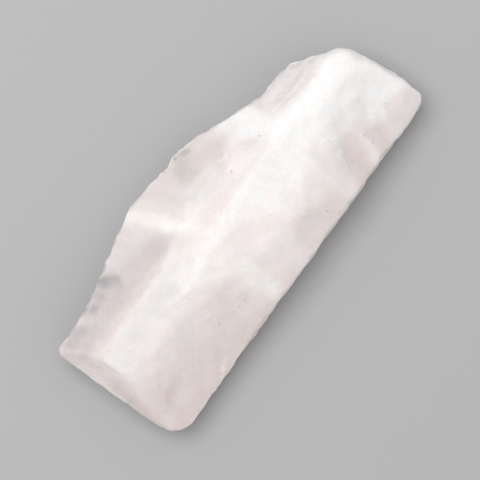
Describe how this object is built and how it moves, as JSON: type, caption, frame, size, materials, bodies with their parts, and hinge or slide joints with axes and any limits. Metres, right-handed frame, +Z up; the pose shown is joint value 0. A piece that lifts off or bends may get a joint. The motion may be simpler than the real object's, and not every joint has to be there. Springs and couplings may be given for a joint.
{
  "type": "rough rose quartz stone",
  "caption": "Rough slab of milky rose quartz with one straight long edge, a bevelled end, a thin scalloped edge and shallow flake scars.",
  "frame": {"origin": "on the ground, under the middle of the stone's bounding box", "axes": "+X along the stone towards its broken end, +Y across it towards its thin edge, +Z up from its flat underside"},
  "size_m": [0.1254, 0.0522, 0.0222],
  "materials": {
    "rose_quartz": "satin"
  },
  "bodies": {
    "root": {"rose_quartz": "rose_quartz"}
  },
  "joints": []
}
